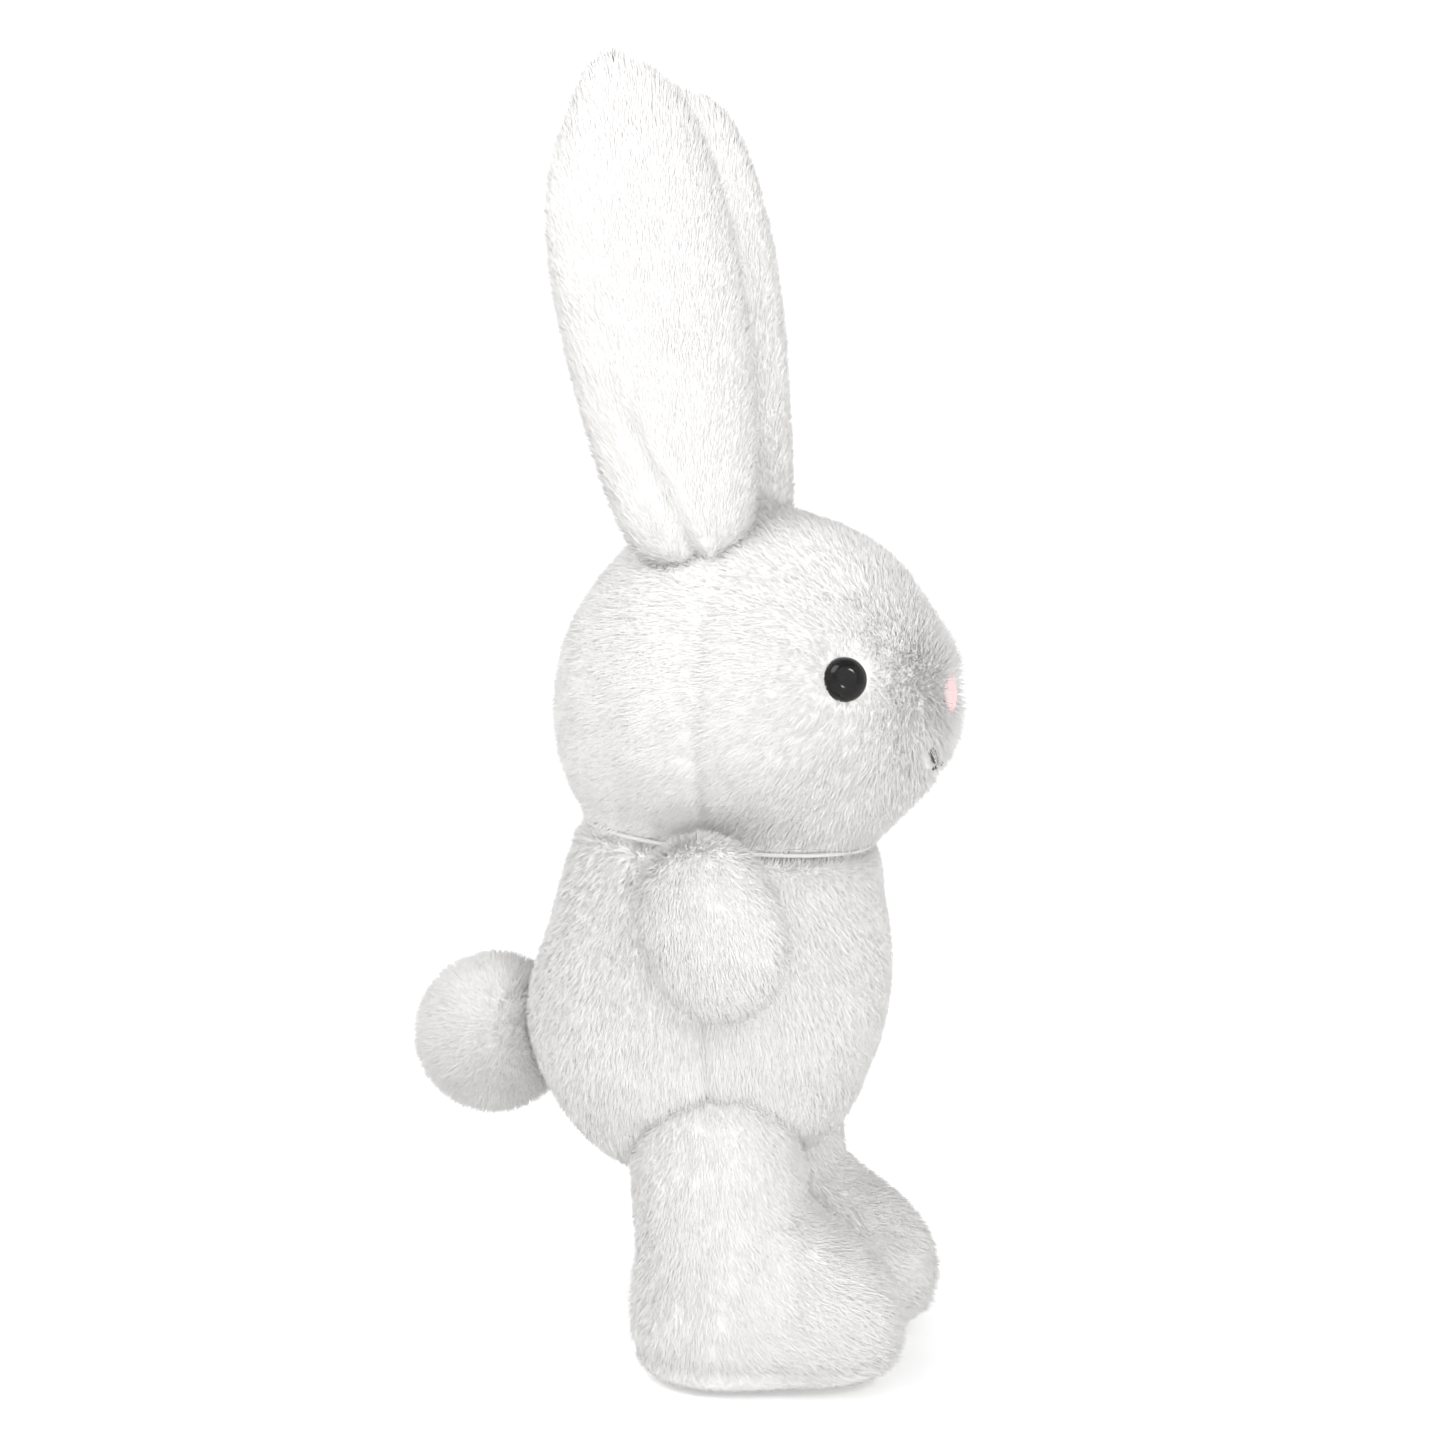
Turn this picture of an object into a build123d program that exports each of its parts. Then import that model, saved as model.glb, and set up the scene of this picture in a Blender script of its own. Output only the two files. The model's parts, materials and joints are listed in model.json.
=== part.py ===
"""A standing stuffed bunny rabbit, sewn from long-pile fabric.

Millimetres, +Z up. The bunny faces -Y, its left side is +X, and it stands on its soles at Z = 0.
The origin is the middle of the bottom of its bounding box.
"""

from build123d import *
from math import asin, cos, radians, sin, tan
import os

# ---- overall sizes ----
HEIGHT = 300.0
FABRIC = 3.0  # backing and pile together
FIT = 0.2  # between the fabric and the filling behind it
CLEARANCE = 0.5  # between pieces that move on each other
SEAM_Y = -15.2  # the side seams of the head and the body
SIDES = (("left", 1), ("right", -1))
ROUND_STEPS = (0, 25, 45, 62, 76, 86)  # degrees round a rounded end, from its widest section

# ---- body: a form turned about a leaning axis ----
BODY_CENTRE = Vector(0, -7.7, 88)
BODY_LEAN = 5.3  # degrees forwards from upright
BODY_BOTTOM = -41.0
BODY_BOTTOM_OUTLINE = (14, -39.6)
BODY_OUTLINE = ((27.5, -34), (36, -25.5), (39.8, -12), (41, 0), (40.5, 11), (38.3, 24), (34.5, 38))
BODY_TOP = 48.0  # inside the head's seat, which cuts it away
NECK_RADIUS = 33.5
NECK_ROOM = 2.0  # how far the body's rim stays below the neck seam

# ---- head: a ball, a taller crown and a muzzle ----
HEAD_RADIUS = 43.0
HEAD_ABOVE_BODY = 64.8  # along the body's axis, between their centres
CROWN_HEIGHT = 49.5
HEAD_STEPS = range(-75, 80, 15)  # degrees round the outline, from below to above
MUZZLE_RADIUS = 32.0
MUZZLE_FORWARD = 19.0
MUZZLE_UP = 4.0

# ---- eyes, nose and mouth ----
EYE_RADIUS = 5.0
EYE_DOME = 3.8
EYE_ROUNDING = 3.5
EYE_SUNK = 1.0
EYE_DIRECTION = Vector(29.0, -12.3, 5.8)  # from the middle of the muzzle, for the left eye
SHANK_RADIUS = 1.5
SHANK_LENGTH = 8.0
WASHER_RADIUS = 6.5
WASHER_HOLE = 1.7
WASHER_DEPTH = 4.4
WASHER_THICKNESS = 1.6
POCKET_ROOM = 0.3
NOSE_WIDTH = 13.0
NOSE_HEIGHT = 9.0
NOSE_UP = 1.0
MOUTH_WIDTH = 15.0
MOUTH_DIP = 3.5
MOUTH_DOWN = 11.5
MOUTH_THREAD = 1.2
STITCH_PROUD = 1.0

# ---- neck seam ----
NECK_THREAD_RADIUS = 0.5
NECK_THREAD_RING = 33.6
NECK_THREAD_LIFT = 0.1  # over the body's rim

# ---- arms ----
SHOULDER = Vector(44.3, -14.3, 120.2)
ARM_FORWARD = 27.0  # degrees from straight down
ARM_OUTWARD = 11.0
ARM_LENGTH = 31.5
ARM_WIDEST = 11.5  # along the arm from the shoulder
ARM_HALF_WIDTH = 15.5
ARM_HALF_THICKNESS = 9.0
ARM_BULGE = 2.5  # how far the mitten's middle is outside the line from its shoulder
SHOULDER_HALF_WIDTH = 13.5
SHOULDER_RADIUS = 6.5

# ---- legs ----
LEG_X = 20.5
HIP_Y = -15.2
HIP_Z = 44.0
HIP_RADIUS = 19.5
FOOT_SECTIONS = (  # height, half width, half length, place of the middle along Y
    (0, 16.5, 26.6, -25.7),
    (4, 18, 29, -25.7),
    (12, 19.5, 30.6, -25.7),
    (22, 19.5, 30, -25.7),
    (30, 18.8, 26.8, -23.5),
    (37, 18.6, 22.3, -18.4),
)
THIGH_FLATTER = 0.1  # across, so that every section's longer side runs along Y
BOARD_THICKNESS = 1.5
PELLET_BAG_HEIGHT = 10.0

# ---- ears ----
EAR_BASE = Vector(20.0, -6.3, 199.0)
EAR_TIP = Vector(26.0, 9.8, HEIGHT)
EAR_FACING = 20.0  # degrees that its front turns forwards from straight out
EAR_BASE_HALF_WIDTH = 14.0
EAR_BASE_RADIUS = 8.0
EAR_WIDEST = 46.0  # along the ear from its base
EAR_WIDENING = (0.2, 0.4, 0.6, 0.8)  # of the way to its widest
EAR_HALF_WIDTH = 20.5
EAR_HALF_THICKNESS = 10.5

# ---- tail ----
TAIL_SEAT = Vector(0, 33.2, 72.5)
TAIL_RADIUS = 18.0
TAIL_BEHIND = 14.7  # from the seat to the middle of the ball
TAIL_CONE = 12.0  # degrees of room between its front and the body
TAIL_THREAD_RING = 7.0
TAIL_THREAD_RADIUS = 0.5
TAIL_THREAD_DEEPER = 0.6  # so that the filling closes over the thread


def turned_form(plane, points):
    """A closed form: the outline through the points, (radius, height), turned about the plane's Y."""
    with BuildPart() as form:
        with BuildSketch(plane):
            with BuildLine():
                outline = Spline(*points)
                Line(outline @ 1, outline @ 0)
            make_face()
        revolve(axis=Axis(plane.origin, plane.y_dir))
    return form.part


def barrel(plane, half_length, radius):
    """A rounded roll, longest along the plane's X, which is the line that it turns about."""
    with BuildPart() as form:
        with BuildSketch(plane):
            with BuildLine():
                EllipticalCenterArc((0, 0), half_length, radius, 0, arc_size=180)
                Line((-half_length, 0), (half_length, 0))
            make_face()
        revolve(axis=Axis(plane.origin, plane.x_dir))
    return form.part


def ball(centre, radius):
    """A ball."""
    with BuildPart() as form:
        with Locations(centre):
            Sphere(radius)
    return form.part


def ring(plane, ring_radius, thread_radius):
    """A ring of thread round the plane's normal."""
    with BuildPart() as form:
        with BuildSketch(Plane(origin=plane.origin, x_dir=plane.x_dir, z_dir=plane.y_dir)):
            with Locations((ring_radius, 0)):
                Circle(thread_radius)
        revolve(axis=Axis(plane.origin, plane.z_dir))
    return form.part


def lofted_form(plane, sections):
    """A smooth form through ellipses: height, half width, half depth, shift along the plane's Y."""
    with BuildPart() as form:
        for height, half_width, half_depth, shift in sections:
            with BuildSketch(plane.offset(height)):
                with Locations((0, shift)):
                    Ellipse(half_width, half_depth)
        loft()
    return form.part


def rounded_end(start, end, half_width, half_depth, shift=0):
    """The sections of a rounded end, from its widest one at start to just short of its tip at end."""
    sections = []
    for step in ROUND_STEPS:
        narrowing = cos(radians(step))
        height = start + (end - start) * sin(radians(step))
        sections.append((height, half_width * narrowing, half_depth * narrowing, shift))
    return sections


def save(piece, label):
    """Label a finished piece and write it."""
    piece.part.label = label
    export_step(piece.part, f"parts/{label}.step")


os.makedirs("parts", exist_ok=True)

# ================================ shared forms ================================
body_axis = Vector(0, -sin(radians(BODY_LEAN)), cos(radians(BODY_LEAN)))
body_plane = Plane(origin=BODY_CENTRE, x_dir=(1, 0, 0), z_dir=Vector(1, 0, 0).cross(body_axis))
head_centre = BODY_CENTRE + body_axis * HEAD_ABOVE_BODY
head_plane = Plane(origin=head_centre, x_dir=(1, 0, 0), z_dir=(0, -1, 0))
muzzle_centre = head_centre + Vector(0, -MUZZLE_FORWARD, MUZZLE_UP)
neck_drop = HEAD_RADIUS * cos(asin(NECK_RADIUS / HEAD_RADIUS))
neck_plane = Plane(origin=head_centre - body_axis * neck_drop, x_dir=(1, 0, 0), z_dir=body_axis)
seam_plane = Plane(origin=(0, SEAM_Y, 0), x_dir=(1, 0, 0), z_dir=(0, 1, 0))


def body_form(inset):
    """The body, before the seats for the head and the legs are cut."""
    bottom = [(0, BODY_BOTTOM + inset), (BODY_BOTTOM_OUTLINE[0], BODY_BOTTOM_OUTLINE[1] + inset)]
    middle = [(radius - inset, height) for radius, height in BODY_OUTLINE]
    return turned_form(body_plane, [*bottom, *middle, (0, BODY_TOP)])


def head_form(inset):
    """The ball, its taller crown and the muzzle in one."""
    outline = []
    for step in HEAD_STEPS:
        height = HEAD_RADIUS if step < 0 else CROWN_HEIGHT
        outline.append(((HEAD_RADIUS - inset) * cos(radians(step)), (height - inset) * sin(radians(step))))
    with BuildPart() as form:
        add(turned_form(head_plane, [(0, inset - HEAD_RADIUS), *outline, (0, CROWN_HEIGHT - inset)]))
        add(ball(muzzle_centre, MUZZLE_RADIUS - inset))
    return form.part


def ear_plane(sign):
    """At the ear's base: X along its width, which is its hinge line, Y inwards, Z up the ear."""
    base = Vector(sign * EAR_BASE.X, EAR_BASE.Y, EAR_BASE.Z)
    tip = Vector(sign * EAR_TIP.X, EAR_TIP.Y, EAR_TIP.Z)
    width = Vector(sin(radians(EAR_FACING)), sign * cos(radians(EAR_FACING)), 0)
    return Plane(origin=base, x_dir=width, z_dir=tip - base)


def ear_form(sign, inset):
    """A flattened leaf with a rolled base."""
    length = (EAR_TIP - EAR_BASE).length
    base_radius = EAR_BASE_RADIUS - inset
    base_width = EAR_BASE_HALF_WIDTH - inset
    half_width = EAR_HALF_WIDTH - inset
    half_thickness = EAR_HALF_THICKNESS - inset
    sections = [*reversed(rounded_end(0, -base_radius, base_width, base_radius))]
    for part_way in EAR_WIDENING:
        growth = sin(radians(90 * part_way))
        width = base_width + (half_width - base_width) * growth
        thickness = base_radius + (half_thickness - base_radius) * growth
        sections.append((EAR_WIDEST * part_way, width, thickness, 0))
    sections += rounded_end(EAR_WIDEST, length - inset, half_width, half_thickness)
    return lofted_form(ear_plane(sign), sections)


def arm_plane(sign):
    """At the shoulder: X along the arm's width, which is its hinge line, Y inwards, Z down the arm."""
    forward = radians(ARM_FORWARD)
    outward = radians(ARM_OUTWARD)
    down = Vector(sign * sin(outward), -sin(forward) * cos(outward), -cos(forward) * cos(outward))
    width = Vector(0, -sign * cos(forward), sign * sin(forward))
    shoulder = Vector(sign * SHOULDER.X, SHOULDER.Y, SHOULDER.Z)
    return Plane(origin=shoulder, x_dir=width, z_dir=down)


def arm_form(sign, inset):
    """A mitten on a rolled shoulder."""
    shoulder_radius = SHOULDER_RADIUS - inset
    shoulder = rounded_end(0, -shoulder_radius, SHOULDER_HALF_WIDTH - inset, shoulder_radius)
    half_width = ARM_HALF_WIDTH - inset
    half_thickness = ARM_HALF_THICKNESS - inset
    end = rounded_end(ARM_WIDEST, ARM_LENGTH - inset, half_width, half_thickness, -ARM_BULGE)
    return lofted_form(arm_plane(sign), [*reversed(shoulder), *end])


def leg_form(sign, inset):
    """A boot-shaped foot with the thigh's dome on it."""
    plane = Plane(origin=(sign * LEG_X, 0, 0))
    foot = [(z, width - inset, length - inset, y) for z, width, length, y in FOOT_SECTIONS]
    radius = HIP_RADIUS - inset
    thigh = rounded_end(HIP_Z, HIP_Z + radius, radius - THIGH_FLATTER, radius, HIP_Y)
    return lofted_form(plane, [*foot, *thigh])


def tail_form(radius, behind):
    """A ball with a shallow cone for its front, so that it can rock on its seat."""
    slope = tan(radians(TAIL_CONE))
    far = 3 * TAIL_RADIUS
    with BuildPart() as form:
        with BuildSketch(Plane(origin=TAIL_SEAT, x_dir=(0, 1, 0), z_dir=(1, 0, 0))):
            with Locations((TAIL_BEHIND, 0)):
                Circle(radius)
            with BuildLine():
                Polyline((behind, 0), (behind + slope * far, far), (far, far), (far, 0), close=True)
            make_face(mode=Mode.INTERSECT)
        revolve(axis=Axis(TAIL_SEAT, (0, 1, 0)))
    return form.part


def eye_plane(sign):
    """On the muzzle's surface, with its normal straight out of the eye."""
    direction = Vector(sign * EYE_DIRECTION.X, EYE_DIRECTION.Y, EYE_DIRECTION.Z).normalized()
    return Plane(origin=muzzle_centre + direction * (MUZZLE_RADIUS - EYE_SUNK), z_dir=direction)


def eye_room(sign):
    """What an eye, its shank and its washer take out of the fabric and the filling."""
    plane = eye_plane(sign)
    washer_back = WASHER_DEPTH + WASHER_THICKNESS
    with BuildPart() as room:
        with BuildSketch(plane.offset(-POCKET_ROOM)):
            Circle(EYE_RADIUS + POCKET_ROOM)
        extrude(amount=2 * EYE_DOME)
        with BuildSketch(plane.offset(-SHANK_LENGTH - POCKET_ROOM)):
            Circle(SHANK_RADIUS + POCKET_ROOM)
        extrude(amount=SHANK_LENGTH + POCKET_ROOM)
        with BuildSketch(plane.offset(-washer_back - POCKET_ROOM)):
            Circle(WASHER_RADIUS + POCKET_ROOM)
        extrude(amount=WASHER_THICKNESS + 2 * POCKET_ROOM)
    return room.part


def stitched_patch(outline):
    """Thread laid on the muzzle: the skin-deep layer that lies behind the outline."""
    with BuildPart() as patch:
        add(ball(muzzle_centre, MUZZLE_RADIUS + STITCH_PROUD))
        add(ball(muzzle_centre, MUZZLE_RADIUS), mode=Mode.SUBTRACT)
        add(outline, mode=Mode.INTERSECT)
    return patch.part


head_seat = ball(head_centre, HEAD_RADIUS + CLEARANCE)
head_ball = ball(head_centre, HEAD_RADIUS)
face_plane = Plane(origin=muzzle_centre, x_dir=(1, 0, 0), z_dir=(0, -1, 0))

# ================================== the body ==================================
with BuildPart() as body_envelope:
    add(body_form(0))
    add(head_seat, mode=Mode.SUBTRACT)
    split(bisect_by=neck_plane.offset(-NECK_ROOM), keep=Keep.BOTTOM)
    for _, sign in SIDES:
        add(ball(Vector(sign * LEG_X, HIP_Y, HIP_Z), HIP_RADIUS + CLEARANCE), mode=Mode.SUBTRACT)

with BuildPart() as body_front_panel:
    add(body_envelope.part)
    add(body_form(FABRIC), mode=Mode.SUBTRACT)
    split(bisect_by=seam_plane, keep=Keep.BOTTOM)
save(body_front_panel, "body_front_panel")

with BuildPart() as body_back_panel:
    add(body_envelope.part)
    add(body_form(FABRIC), mode=Mode.SUBTRACT)
    split(bisect_by=seam_plane, keep=Keep.TOP)
save(body_back_panel, "body_back_panel")

with BuildPart() as body_stuffing:
    add(body_form(FABRIC + FIT))
    add(body_envelope.part, mode=Mode.INTERSECT)
save(body_stuffing, "body_stuffing")

# ================================ the neck seam ================================
with BuildPart() as neck_seam_thread:
    rim_plane = neck_plane.offset(-NECK_ROOM)
    thread_middle = rim_plane.offset(NECK_THREAD_RADIUS + NECK_THREAD_LIFT)
    add(ring(thread_middle, NECK_THREAD_RING, NECK_THREAD_RADIUS))
save(neck_seam_thread, "neck_seam_thread")

# ================================== the head ==================================
with BuildPart() as head_skin:
    add(head_form(0))
    add(head_form(FABRIC), mode=Mode.SUBTRACT)
    split(bisect_by=neck_plane, keep=Keep.TOP)
    for _, sign in SIDES:
        ear_seat = barrel(ear_plane(sign), EAR_BASE_HALF_WIDTH + CLEARANCE, EAR_BASE_RADIUS + CLEARANCE)
        add(ear_seat, mode=Mode.SUBTRACT)
        add(eye_room(sign), mode=Mode.SUBTRACT)

with BuildPart() as face_panel:
    add(head_skin.part)
    split(bisect_by=seam_plane, keep=Keep.BOTTOM)
save(face_panel, "face_panel")

with BuildPart() as head_back_panel:
    add(head_skin.part)
    split(bisect_by=seam_plane, keep=Keep.TOP)
save(head_back_panel, "head_back_panel")

with BuildPart() as neck_plug:
    add(head_ball)
    split(bisect_by=neck_plane.offset(-FIT), keep=Keep.BOTTOM)

with BuildPart() as head_stuffing:
    add(head_form(FABRIC + FIT))
    add(neck_plug.part)
    for _, sign in SIDES:
        ear_seat = barrel(ear_plane(sign), EAR_BASE_HALF_WIDTH + CLEARANCE, EAR_BASE_RADIUS + CLEARANCE)
        add(ear_seat, mode=Mode.SUBTRACT)
        add(eye_room(sign), mode=Mode.SUBTRACT)
save(head_stuffing, "head_stuffing")

for side, sign in SIDES:
    plane = eye_plane(sign)
    with BuildPart() as eye:
        with BuildSketch(plane):
            Circle(EYE_RADIUS)
        extrude(amount=EYE_DOME)
        dome_edge = eye.edges().sort_by(Axis(plane.origin, plane.z_dir))[-1]
        fillet(dome_edge, radius=EYE_ROUNDING)
        with BuildSketch(plane):
            Circle(SHANK_RADIUS)
        extrude(amount=-SHANK_LENGTH)
    save(eye, f"eye_{side}")

    with BuildPart() as eye_washer:
        with BuildSketch(plane.offset(-WASHER_DEPTH - WASHER_THICKNESS)):
            Circle(WASHER_RADIUS)
            Circle(WASHER_HOLE, mode=Mode.SUBTRACT)
        extrude(amount=WASHER_THICKNESS)
    save(eye_washer, f"eye_washer_{side}")

with BuildPart() as nose_outline:
    with BuildSketch(face_plane):
        with Locations((0, NOSE_UP)):
            Ellipse(NOSE_WIDTH / 2, NOSE_HEIGHT / 2)
    extrude(amount=2 * MUZZLE_RADIUS)

with BuildPart() as nose_embroidery:
    add(stitched_patch(nose_outline.part))
save(nose_embroidery, "nose_embroidery")

with BuildPart() as mouth_outline:
    with BuildSketch(face_plane):
        with BuildLine():
            smile = ThreePointArc(
                (-MOUTH_WIDTH / 2, -MOUTH_DOWN),
                (0, -MOUTH_DOWN - MOUTH_DIP),
                (MOUTH_WIDTH / 2, -MOUTH_DOWN),
            )
        SlotArc(smile, MOUTH_THREAD)
    extrude(amount=2 * MUZZLE_RADIUS)

with BuildPart() as mouth_embroidery:
    add(stitched_patch(mouth_outline.part))
save(mouth_embroidery, "mouth_embroidery")

# ================================== the ears ==================================
for side, sign in SIDES:
    plane = ear_plane(sign)
    ear_seam = Plane(origin=plane.origin, x_dir=plane.x_dir, z_dir=plane.y_dir)
    with BuildPart() as ear_skin:
        add(ear_form(sign, 0))
        add(ear_form(sign, FABRIC), mode=Mode.SUBTRACT)

    with BuildPart() as ear_front_panel:
        add(ear_skin.part)
        split(bisect_by=ear_seam, keep=Keep.BOTTOM)
    save(ear_front_panel, f"ear_front_panel_{side}")

    with BuildPart() as ear_back_panel:
        add(ear_skin.part)
        split(bisect_by=ear_seam, keep=Keep.TOP)
    save(ear_back_panel, f"ear_back_panel_{side}")

    with BuildPart() as ear_wadding:
        add(ear_form(sign, FABRIC + FIT))
    save(ear_wadding, f"ear_wadding_{side}")

# ================================== the arms ==================================
for side, sign in SIDES:
    plane = arm_plane(sign)
    arm_seam = Plane(origin=plane.origin, x_dir=plane.x_dir, z_dir=plane.y_dir)
    with BuildPart() as arm_skin:
        add(arm_form(sign, 0))
        add(arm_form(sign, FABRIC), mode=Mode.SUBTRACT)

    with BuildPart() as arm_outer_panel:
        add(arm_skin.part)
        split(bisect_by=arm_seam, keep=Keep.BOTTOM)
    save(arm_outer_panel, f"arm_outer_panel_{side}")

    with BuildPart() as arm_inner_panel:
        add(arm_skin.part)
        split(bisect_by=arm_seam, keep=Keep.TOP)
    save(arm_inner_panel, f"arm_inner_panel_{side}")

    with BuildPart() as arm_stuffing:
        add(arm_form(sign, FABRIC + FIT))
    save(arm_stuffing, f"arm_stuffing_{side}")

# ================================== the legs ==================================
sole_top = Plane.XY.offset(FABRIC)
board_bottom = Plane.XY.offset(FABRIC + FIT)
board_top = board_bottom.offset(BOARD_THICKNESS)
bag_bottom = board_top.offset(FIT)
bag_top = bag_bottom.offset(PELLET_BAG_HEIGHT)

for side, sign in SIDES:
    leg_seam = Plane(origin=(sign * LEG_X, 0, 0), x_dir=(0, 1, 0), z_dir=(sign, 0, 0))
    filling = leg_form(sign, FABRIC + FIT)
    with BuildPart() as leg_skin:
        add(leg_form(sign, 0))
        add(leg_form(sign, FABRIC), mode=Mode.SUBTRACT)
        split(bisect_by=sole_top, keep=Keep.TOP)

    with BuildPart() as leg_outer_panel:
        add(leg_skin.part)
        split(bisect_by=leg_seam, keep=Keep.TOP)
    save(leg_outer_panel, f"leg_outer_panel_{side}")

    with BuildPart() as leg_inner_panel:
        add(leg_skin.part)
        split(bisect_by=leg_seam, keep=Keep.BOTTOM)
    save(leg_inner_panel, f"leg_inner_panel_{side}")

    with BuildPart() as sole_panel:
        add(leg_form(sign, 0))
        split(bisect_by=sole_top, keep=Keep.BOTTOM)
    save(sole_panel, f"sole_panel_{side}")

    with BuildPart() as foot_board:
        add(filling)
        split(bisect_by=board_bottom, keep=Keep.TOP)
        split(bisect_by=board_top, keep=Keep.BOTTOM)
    save(foot_board, f"foot_board_{side}")

    with BuildPart() as pellet_bag:
        add(filling)
        split(bisect_by=bag_bottom, keep=Keep.TOP)
        split(bisect_by=bag_top, keep=Keep.BOTTOM)
    save(pellet_bag, f"pellet_bag_{side}")

    with BuildPart() as leg_stuffing:
        add(filling)
        split(bisect_by=bag_top.offset(FIT), keep=Keep.TOP)
    save(leg_stuffing, f"leg_stuffing_{side}")

# ================================== the tail ==================================
cone_behind = FABRIC + tan(radians(TAIL_CONE)) * TAIL_THREAD_RING
thread_behind = cone_behind + 2 * TAIL_THREAD_RADIUS + TAIL_THREAD_DEEPER
thread_plane = Plane(origin=TAIL_SEAT + Vector(0, thread_behind, 0), x_dir=(1, 0, 0), z_dir=(0, 1, 0))

with BuildPart() as tail_skin:
    add(tail_form(TAIL_RADIUS, 0))
    add(tail_form(TAIL_RADIUS - FABRIC, FABRIC), mode=Mode.SUBTRACT)
save(tail_skin, "tail_skin")

with BuildPart() as tail_stuffing:
    add(tail_form(TAIL_RADIUS - FABRIC - FIT, FABRIC + FIT))
    add(ring(thread_plane, TAIL_THREAD_RING, TAIL_THREAD_RADIUS + POCKET_ROOM), mode=Mode.SUBTRACT)
save(tail_stuffing, "tail_stuffing")

with BuildPart() as tail_gathering_thread:
    add(ring(thread_plane, TAIL_THREAD_RING, TAIL_THREAD_RADIUS))
save(tail_gathering_thread, "tail_gathering_thread")
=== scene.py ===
"""The looks of a standing stuffed bunny rabbit, built round its CAD frame.

Every soft part is shown by a skin, a closed mesh cast from a smooth field, and by its pile: thin tapered
strands that lie the way the plush was brushed. Fields are worked out in millimetres from the frame's
joints, and meshes are made in metres. The bunny faces -Y and its left side is +X.
"""

import json
import math

import bpy
import numpy as np
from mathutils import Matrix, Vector
from mathutils.bvhtree import BVHTree
from mathutils.kdtree import KDTree


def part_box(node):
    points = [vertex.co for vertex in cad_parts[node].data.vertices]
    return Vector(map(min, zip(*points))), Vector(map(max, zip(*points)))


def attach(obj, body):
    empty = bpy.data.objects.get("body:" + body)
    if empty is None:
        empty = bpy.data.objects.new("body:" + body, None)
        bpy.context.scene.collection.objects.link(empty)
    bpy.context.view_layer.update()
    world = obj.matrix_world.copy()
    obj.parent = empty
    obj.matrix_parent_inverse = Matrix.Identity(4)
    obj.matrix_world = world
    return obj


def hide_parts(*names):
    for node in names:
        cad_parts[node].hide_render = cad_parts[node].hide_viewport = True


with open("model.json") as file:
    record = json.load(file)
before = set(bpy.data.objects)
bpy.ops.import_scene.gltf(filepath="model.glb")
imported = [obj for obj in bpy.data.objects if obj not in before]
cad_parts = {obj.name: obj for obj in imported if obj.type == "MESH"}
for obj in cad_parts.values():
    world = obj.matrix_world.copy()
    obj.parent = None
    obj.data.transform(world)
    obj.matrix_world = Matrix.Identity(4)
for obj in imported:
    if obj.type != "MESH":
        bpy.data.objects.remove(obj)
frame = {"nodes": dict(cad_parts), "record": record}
bpy.context.view_layer.update()

MM = 0.001
SIDES = (("left", 1), ("right", -1))
FAR = 200.0  # mm, further than any part reaches from its middle
CAST_STEPS = 26
RELAX_ROUNDS = 3
SKIN_LEVEL = 6  # subdivisions of the sphere that a skin is cast from

joints = {joint["name"]: joint for joint in frame["record"]["behaviour"]["joints"]}


def pivot(name):
    """Where a joint turns, in mm."""
    return np.array(joints[name]["pos_m"]) / MM


def axis_of(name):
    """A joint's axis."""
    return np.array(joints[name]["axis"], float)


def unit(vectors):
    """Vectors scaled to length one."""
    return vectors / np.maximum(np.linalg.norm(vectors, axis=-1, keepdims=True), 1e-12)


HEAD = pivot("head_nod")
BODY_AXIS = axis_of("head_turn")
HEAD_TO_BODY = 64.8  # between their middles
BODY = HEAD - BODY_AXIS * HEAD_TO_BODY
SEAM_Y = -15.2  # the side seams of head and body lie in one upright plane
SOCKET_DEPTH = 1.4  # how far the eyes pull the plush in
SOCKET_WIDTH = 6.5
SOLE_FOLD_Z = 7.5


def node_middle(node):
    """The middle of a CAD node's box, in mm."""
    low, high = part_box(node)
    return (np.array(low) + np.array(high)) / 2 / MM


EYES = {side: node_middle("eye_" + side) for side, _ in SIDES}


# ============================== fields ==============================
# A form is the place of an ellipsoid's middle, from that of its part, and its half sizes; in mm.
HEAD_BALL = ((0, 0, 0.5), (42.3, 41.7, 42))
FOREHEAD = ((0, -5, 4.5), (35.5, 42.0, 42.2))
MUZZLE = ((0, -28, 2.5), (25.5, 20.8, 21.6))
BELLY = ((0, 0, 0), (40.4, 40.2, 38.5))
CHEST = ((0, 0, 0), (35.8, 35.8, 34))
SEAT = ((0, 5.5, 0), (37.5, 36.3, 36))
FOOT = ((0, -11.2, 15.6), (18.6, 28.0, 16.9))
THIGH_HALF_SIZES = (18.4, 17.6, 29)
MITTEN = ((0, 2.2, 12.2), (15.4, 9.2, 18.6))


def ellipsoid(points, base, form, power=2.0):
    """How far outside an ellipsoid points are, roughly in mm; a higher power makes it boxier."""
    offset, half_sizes = form
    scaled = np.abs((points - (base + offset)) / np.array(half_sizes))
    return ((scaled**power).sum(1) ** (1 / power) - 1) * min(half_sizes)


def smooth_min(a, b, blend):
    """The union of two fields, with a fillet."""
    mix = np.clip(0.5 + 0.5 * (b - a) / blend, 0, 1)
    return b * (1 - mix) + a * mix - blend * mix * (1 - mix)


def smooth_max(a, b, blend):
    """The overlap of two fields, with a rounded edge."""
    return -smooth_min(-a, -b, blend)


def waves(points, size, seed):
    """Soft lumps, from -1 to 1, about that size in mm."""
    rng = np.random.default_rng(seed)
    total = np.zeros(len(points))
    for _ in range(6):
        direction = unit(rng.normal(size=3)) * rng.uniform(0.7, 1.4) * 2 * math.pi / size
        total += np.sin(points @ direction + rng.uniform(0, 2 * math.pi))
    return total / 3


FOREHEAD_FILLET = 5
MUZZLE_FILLET = 6


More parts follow.
